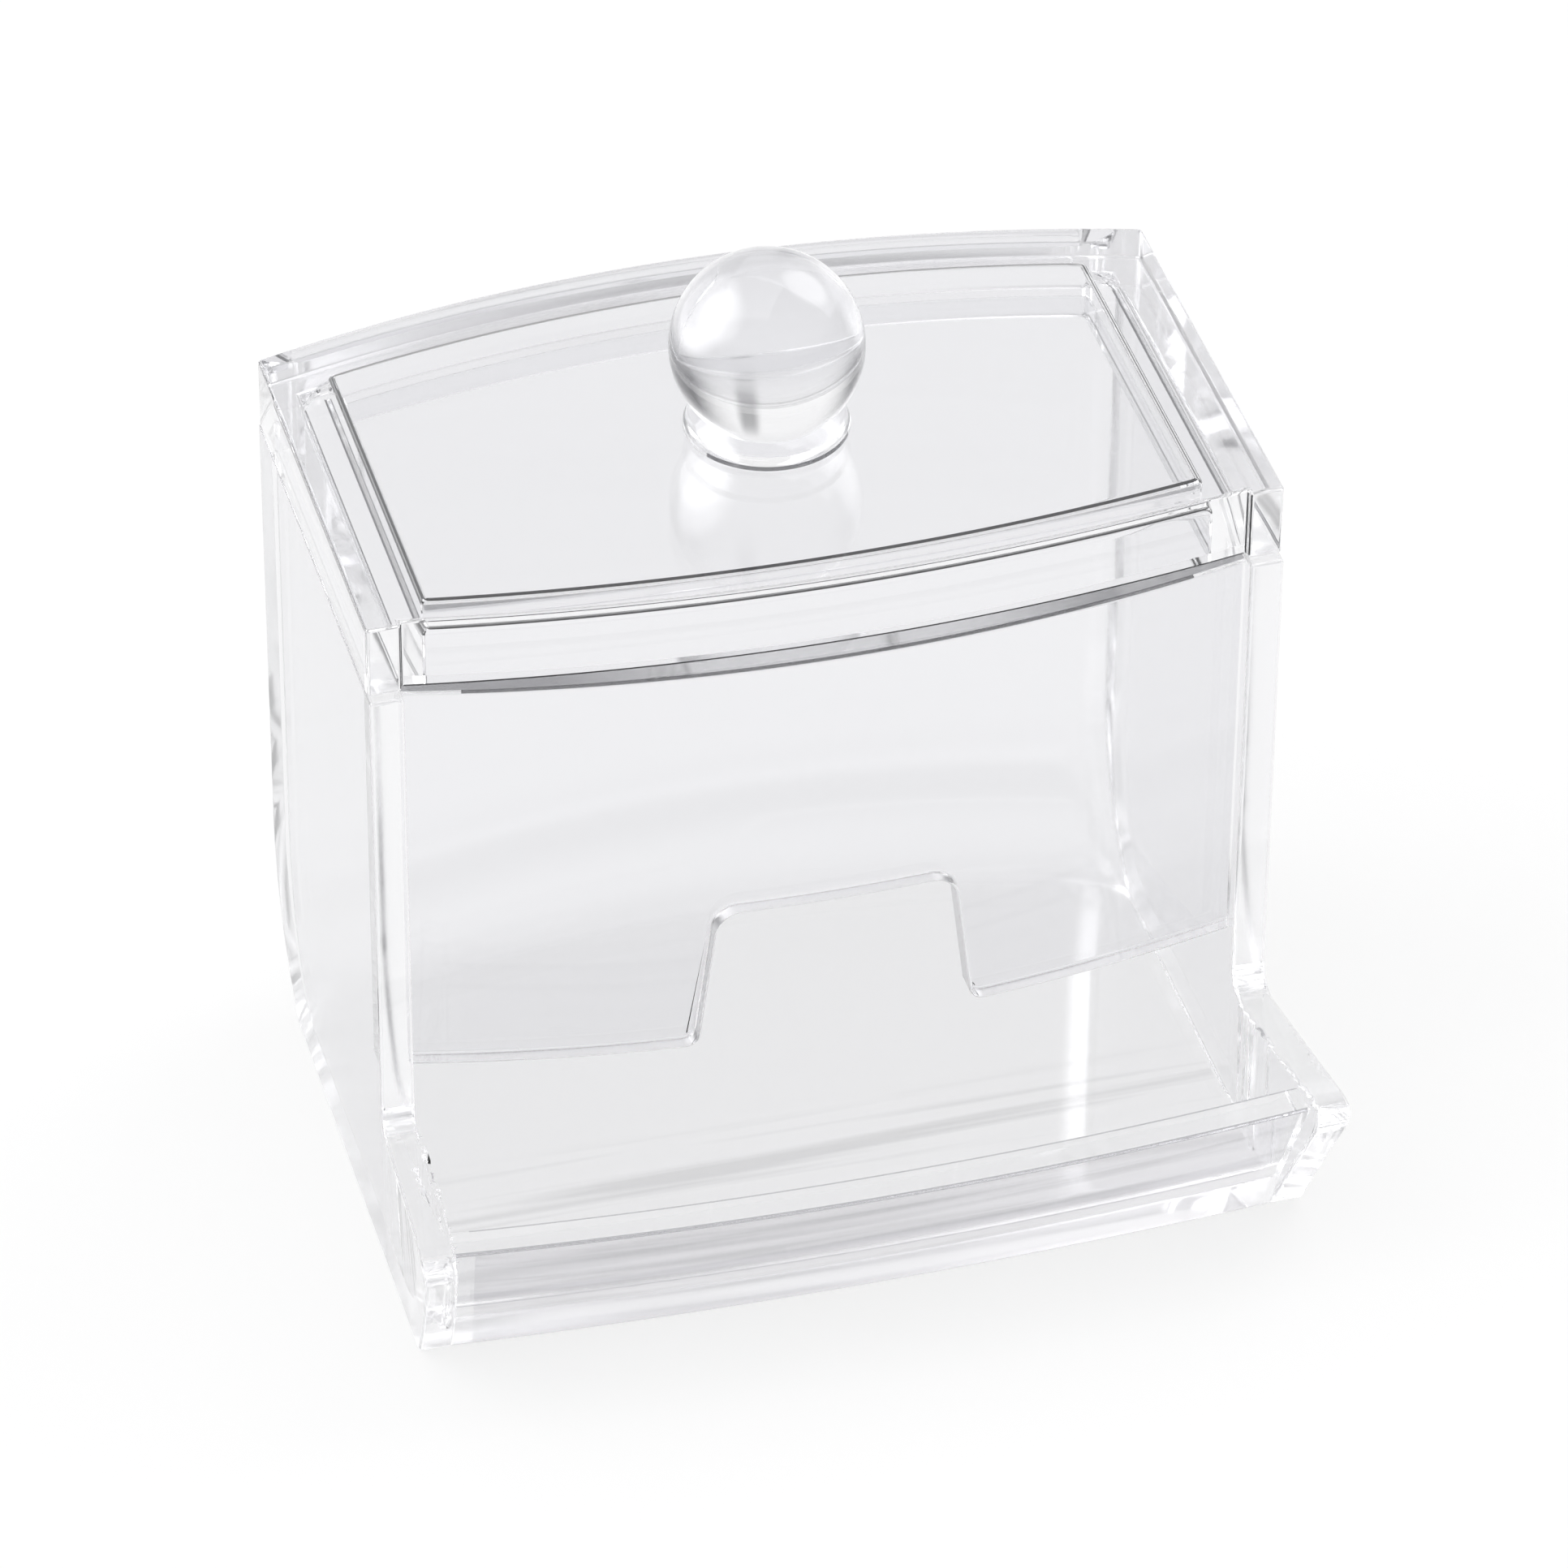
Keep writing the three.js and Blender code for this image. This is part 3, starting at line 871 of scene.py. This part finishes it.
def rim_lines(place, normal):
    """The rounded edges of the tray's rim, and of its front face's foot."""
    if abs(place.x) > INNER + BESIDE_TRAY or place.y > TRAY_ZONE:
        return False
    return within(ROUNDING, TRAY_RIM - place.z) or within(ROUNDING, place.z)


def tray_face(place, normal):
    """The outer face of the tray's front."""
    return abs(place.x) < INNER and place.y < TRAY_ZONE and normal.y < -OUTWARD


def side_faces(place, normal):
    """The outer faces of the side walls."""
    return abs(normal.x) > SQUARE and abs(place.x) > OUTER - CLOSE


def floor_top(place, normal):
    """The flat top of the floor."""
    return normal.z > SQUARE and abs(place.z - FLOOR) < CLOSE / 2


def scoop(place, normal):
    """The curve from the floor up into the tray's front."""
    rising = FLOOR + CLOSE / 2 < place.z < TRAY_RIM - BESIDE_ROUNDING and normal.y > RISING
    return rising and abs(place.x) < INNER and place.y < SCOOP_ZONE


def shaded_bands(place, normal):
    """Two bands of the scoop where soft grey lines of shade are painted."""
    rise = place.z - FLOOR
    return scoop(place, normal) and (within(LOWER_BAND, rise) or within(UPPER_BAND, rise))


def collar_line(place, normal):
    """The front of the collar's lower edge."""
    return place.z < collar_low.z + COLLAR_LINE and place.y < LID_MIDDLE - COLLAR_FRONT


# A later row takes over the faces that it shares with an earlier one
BODY_FACES = (
    ("seam", wall_top),
    ("shaded edge", wall_lines),
    ("side faces", side_faces),
    ("tray face", tray_face),
    ("floor", floor_top),
    ("painted shade streaks", scoop),
    ("tray shade bands", shaded_bands),
    ("grey edge", rim_lines),
    ("soft edge", notch_edges),
)
LID_FACES = (
    ("lid face", lid_top),
    ("dark edge", pocket_lines),
    ("dark edge", foot_lines),
    ("shaded edge", rib_lines),
    ("dark edge", block_lines),
)
KNOB_FACES = (("shaded edge", collar_line),)


def shade(piece, material, wanted):
    """Gives another finish to the faces whose middle and normal pass the test."""
    if material.name not in piece.data.materials:
        piece.data.materials.append(material)
    pick(piece)
    bpy.ops.object.mode_set(mode="EDIT")
    bpy.ops.mesh.select_mode(type="FACE")
    bpy.ops.mesh.select_all(action="DESELECT")
    mesh = bmesh.from_edit_mesh(piece.data)
    for face in mesh.faces:
        face.select = bool(wanted(face.calc_center_median(), face.normal))
    bmesh.update_edit_mesh(piece.data)
    piece.active_material_index = piece.data.materials.find(material.name)
    bpy.ops.object.material_slot_assign()
    bpy.ops.mesh.select_mode(type="VERT")
    bpy.ops.object.mode_set(mode="OBJECT")


def dress(piece, materials, faces, body, slot, *nodes):
    """Finishes a moulding all over and on its chosen faces, attaches it to what it moves with, and hides
    the parts that it stands for.
    """
    piece.data.materials.clear()
    piece.data.materials.append(materials["clear plastic"])
    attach(piece, body)
    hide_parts(*nodes)
    for name, wanted in faces:
        shade(piece, materials[name], wanted)


# The studio

WHITE = (1, 1, 1, 1)
TABLE_TONE = (0.14, 0.14, 0.14, 1)
TABLE_SIDE = 6000 * MM
TABLE_NEAR = 150 * MM
TABLE_FAR = 400 * MM
GLOW = 0.8  # how much of the table's white shines by itself, so that its shadow stays soft
BACKDROP = (0.15, 0.989, 0)  # the way to the white backdrop, behind the table as the camera sees it
BACKDROP_EDGE = (0.65, 0.95)  # cosines of the angles from it between which the room turns white
BESIDE = (0.963, -0.27, 0)  # the way to its right
STAND_LEFT = (0.02, 0.11)  # sines of the angles to its right at which a grey stand fades in
STAND_RIGHT = (0.17, 0.26)  # and out again
STAND_GREY = 0.6
DIM_HEIGHT = (0.1, 0.55)  # sines of the heights between which the dim side turns white
SOFT_LIGHTS = (
    # direction, cosine at the edge, cosine at the full tone, gain
    ((-0.82, 0.17, 0.545), 0.80, 0.93, 2.6),
    ((0.66, 0.31, 0.686), 0.91, 0.97, 2.6),
)
KEY_PLACE = (-300 * MM, 200 * MM, 1200 * MM)
KEY_AIM = (0, 0, 50 * MM)
KEY_SIDE = 1200 * MM
KEY_POWER = 4


def seen_straight(shader):
    """1 where the camera looks at a thing straight."""
    return shader.node("ShaderNodeLightPath", out="Is Camera Ray")


def seen_in_plastic(shader):
    """1 where a reflection or a clear body shows a thing."""
    mirrored = shader.node("ShaderNodeLightPath", out="Is Glossy Ray")
    through = shader.node("ShaderNodeLightPath", out="Is Transmission Ray")
    return mirrored.maximum(through)


def along(shader, direction, axis):
    """How far a direction points along an axis."""
    return shader.node(
        "ShaderNodeVectorMath", {"operation": "DOT_PRODUCT"}, {0: direction, 1: axis}, out="Value"
    )


def unlit_side(shader, direction):
    """1 to the sides of the white backdrop, and part of it where the grey stand is."""
    aside = 1 - smooth(shader, along(shader, direction, BACKDROP), *BACKDROP_EDGE)
    right = along(shader, direction, BESIDE)
    stand = smooth(shader, right, *STAND_LEFT) - smooth(shader, right, *STAND_RIGHT)
    return aside.maximum(stand * STAND_GREY)


def table_white():
    """A white that glows a little, dimmer far out towards the unlit side where the plastic shows it."""
    material = bpy.data.materials.new("studio white")
    material.use_nodes = True
    shader = Shader(material.node_tree)
    place = shader.node("ShaderNodeTexCoord", out="Object")
    distance = shader.node("ShaderNodeVectorMath", {"operation": "LENGTH"}, {0: place}, out="Value")
    way = shader.node("ShaderNodeVectorMath", {"operation": "NORMALIZE"}, {0: place}, out="Vector")
    far = smooth(shader, distance, TABLE_NEAR, TABLE_FAR)
    tone = greyed(shader, WHITE, far * unlit_side(shader, way) * seen_in_plastic(shader))
    glow = shader.node("ShaderNodeEmission", {}, {"Color": tone, "Strength": GLOW})
    lit = shader.node("ShaderNodeBsdfDiffuse", {}, {"Color": TABLE_TONE})
    both = shader.node("ShaderNodeAddShader", {}, {0: glow, 1: lit})
    shader.node("ShaderNodeOutputMaterial", {}, {"Surface": both})
    return material


def floor():
    """A white table top that keeps a soft shadow, and runs off into the dim side of the room."""
    bpy.ops.object.select_all(action="DESELECT")
    bpy.ops.mesh.primitive_plane_add(size=TABLE_SIDE, location=(0, 0, -SEAT_GAP))
    piece = bpy.context.object
    piece.name = "studio_floor"
    piece.data.materials.append(table_white())


def world():
    """A white room with soft lights, dim low down on its unlit side so that the clear edges show."""
    made = bpy.data.worlds.new("studio")
    bpy.context.scene.world = made
    made.use_nodes = True
    shader = Shader(made.node_tree)
    direction = shader.node("ShaderNodeTexCoord", out="Generated")
    unseen = 1 - seen_straight(shader)
    low = 1 - smooth(shader, coordinate(shader, direction, "Z"), *DIM_HEIGHT)
    tone = greyed(shader, WHITE, low * unlit_side(shader, direction) * unseen)
    strength = 1
    for axis, edge, full, gain in SOFT_LIGHTS:
        strength = strength + smooth(shader, along(shader, direction, axis), edge, full) * gain * unseen
    glow = shader.node("ShaderNodeBackground", {}, {"Color": tone, "Strength": strength})
    shader.node("ShaderNodeOutputWorld", {}, {"Surface": glow})


def key_light():
    """One wide soft light above the table."""
    light = bpy.data.lights.new("key", "AREA")
    light.shape = "RECTANGLE"
    light.size = KEY_SIDE
    light.size_y = KEY_SIDE
    light.energy = KEY_POWER
    holder = bpy.data.objects.new("key", light)
    bpy.context.scene.collection.objects.link(holder)
    holder.location = KEY_PLACE
    holder.rotation_euler = (Vector(KEY_AIM) - Vector(KEY_PLACE)).to_track_quat("-Z", "Y").to_euler()


# The camera

AZIMUTH = math.radians(-15.62)
ELEVATION = math.radians(37.27)
ROLL = math.radians(0.43)
DISTANCE = 794.2 * MM
ASIDE = 1.6 * MM
BELOW = 32.7 * MM
AIM_HEIGHT = 72 * MM
LENS = 199.5  # focal length and sensor width in the camera's own millimetres
SENSOR = 36
BOUNCES = 96
CLEAR_BOUNCES = 64
DIFFUSE_BOUNCES = 1


def camera():
    """Looks from the front and a little from the left, above the lid."""
    back = Vector((
        math.sin(AZIMUTH) * math.cos(ELEVATION),
        -math.cos(AZIMUTH) * math.cos(ELEVATION),
        math.sin(ELEVATION),
    ))
    right = Vector((math.cos(AZIMUTH), math.sin(AZIMUTH), 0))
    up = back.cross(right)
    turned_right = math.cos(ROLL) * right + math.sin(ROLL) * up
    turned_up = math.cos(ROLL) * up - math.sin(ROLL) * right
    target = Vector((0, LID_MIDDLE, AIM_HEIGHT))
    place = target + ASIDE * turned_right - BELOW * turned_up + DISTANCE * back
    made = bpy.data.objects.new("camera", bpy.data.cameras.new("camera"))
    bpy.context.scene.collection.objects.link(made)
    made.data.lens = LENS
    made.data.sensor_width = SENSOR
    turn = Matrix((turned_right, turned_up, back)).transposed().to_4x4()
    made.matrix_world = Matrix.Translation(place) @ turn
    bpy.context.scene.camera = made


def light_paths():
    """Follows light through as many reflections as it makes between a clear wall's two faces."""
    cycles = bpy.context.scene.cycles
    cycles.max_bounces = BOUNCES
    cycles.diffuse_bounces = DIFFUSE_BOUNCES
    cycles.glossy_bounces = CLEAR_BOUNCES
    cycles.transmission_bounces = CLEAR_BOUNCES


camera()
light_paths()
materials = {name: moulded_plastic(name, **look) for name, look in FINISHES.items()}
dress(
    storage_body(), materials, BODY_FACES, "body", "clear_body",
    "left_side_wall", "right_side_wall", "left_tray_side", "right_tray_side",
    "back_wall", "front_wall", "floor_panel", "tray_front",
)
dress(lid_moulding(), materials, LID_FACES, "lid", "clear_lid", "lid_shell")
dress(knob(), materials, KNOB_FACES, "lid", "clear_knob", "knob_collar", "knob_ball")
floor()
world()
key_light()
bpy.context.scene.view_settings.view_transform = "Standard"
